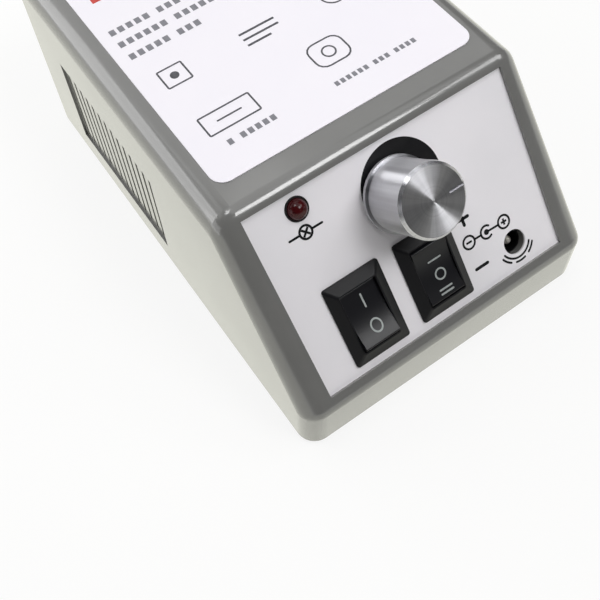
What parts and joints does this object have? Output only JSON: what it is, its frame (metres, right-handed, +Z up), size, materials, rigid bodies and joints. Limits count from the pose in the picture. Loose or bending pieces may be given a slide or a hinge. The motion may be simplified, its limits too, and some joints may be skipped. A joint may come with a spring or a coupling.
{
  "type": "electric file control unit",
  "caption": "Wedge-shaped desktop control box with sloping panel: power rocker, direction rocker, speed knob, lamp and output socket.",
  "frame": {"origin": "bottom centre of the bounding box, under the feet", "axes": "+Z up, the sloping control face looks towards -Y, +X is to the right of someone who faces the controls"},
  "size_m": [0.086, 0.1356, 0.0587],
  "materials": {
    "case_plastic": "moulded, fine spark-eroded grain",
    "panel_print": "screen-printed film on a stiff sheet",
    "label_print": "printed film",
    "vent_plastic": "moulded",
    "zinc_screw": "zinc plated",
    "foot_rubber": "moulded",
    "bushing_rubber": "moulded",
    "switch_plastic": "moulded, satin",
    "rocker_plastic": "moulded, satin",
    "tinned_brass": "tinned",
    "turned_aluminium": "turned and clear anodised",
    "core_plastic": "moulded",
    "shaft_steel": "ground",
    "bush_brass": "nickel-flashed",
    "drawn_steel": "drawn, zinc plated",
    "track_board": "phenolic laminate",
    "lamp_red": "cast red epoxy",
    "nickel_pin": "nickel plated",
    "board_laminate": "solder mask over laminate",
    "capacitor_sleeve": "shrunk sleeve",
    "heatsink_aluminium": "black anodised extrusion",
    "fuse_glass": "drawn tube",
    "core_steel": "stacked silicon-steel plates, varnished",
    "coil_tape": "wound and taped"
  },
  "bodies": {
    "case": {"upper_housing": "case_plastic", "base_plate": "case_plastic", "front_panel": "panel_print", "top_label": "label_print", "vent_grille_left": "vent_plastic", "vent_grille_right": "vent_plastic", "case_screws": "zinc_screw", "rubber_feet": "foot_rubber", "cord_bushing": "bushing_rubber", "power_switch_body": "switch_plastic", "power_switch_terminals": "tinned_brass", "direction_switch_body": "switch_plastic", "direction_switch_terminals": "tinned_brass", "potentiometer_bush": "bush_brass", "potentiometer_case": "drawn_steel", "potentiometer_track": "track_board", "potentiometer_washer": "zinc_screw", "potentiometer_nut": "zinc_screw", "lamp_lens": "lamp_red", "lamp_holder": "switch_plastic", "lamp_leads": "tinned_brass", "jack_body": "switch_plastic", "jack_pin": "nickel_pin", "jack_spring": "nickel_pin", "circuit_board": "board_laminate", "board_screws": "zinc_screw", "capacitor": "capacitor_sleeve", "heatsink": "heatsink_aluminium", "driver_transistor": "switch_plastic", "fuse_glass": "fuse_glass", "fuse_caps": "nickel_pin", "fuse_clips": "tinned_brass", "diodes": "core_plastic", "transformer_core": "core_steel", "transformer_coil": "coil_tape", "transformer_strap": "drawn_steel", "transformer_screws": "zinc_screw"},
    "knob": {"knob_cap": "turned_aluminium", "knob_core": "core_plastic", "potentiometer_shaft": "shaft_steel"},
    "power_switch_lever": {"power_rocker": "rocker_plastic"},
    "direction_switch_lever": {"direction_rocker": "rocker_plastic"}
  },
  "joints": [
    {"name": "speed_knob_turn", "type": "hinge", "parent": "case", "child": "knob", "pos_m": [-0.00035, -0.04405, 0.04351], "axis": [0, -0.7513, 0.66], "range_deg": [-60, 240]},
    {"name": "power_rocker_tilt", "type": "hinge", "parent": "case", "child": "power_switch_lever", "pos_m": [-0.0183, -0.05678, 0.02713], "axis": [1, 0, 0], "range_deg": [0, 22]},
    {"name": "direction_rocker_tilt", "type": "hinge", "parent": "case", "child": "direction_switch_lever", "pos_m": [0.00095, -0.05678, 0.02713], "axis": [1, 0, 0], "range_deg": [-11, 11]}
  ]
}
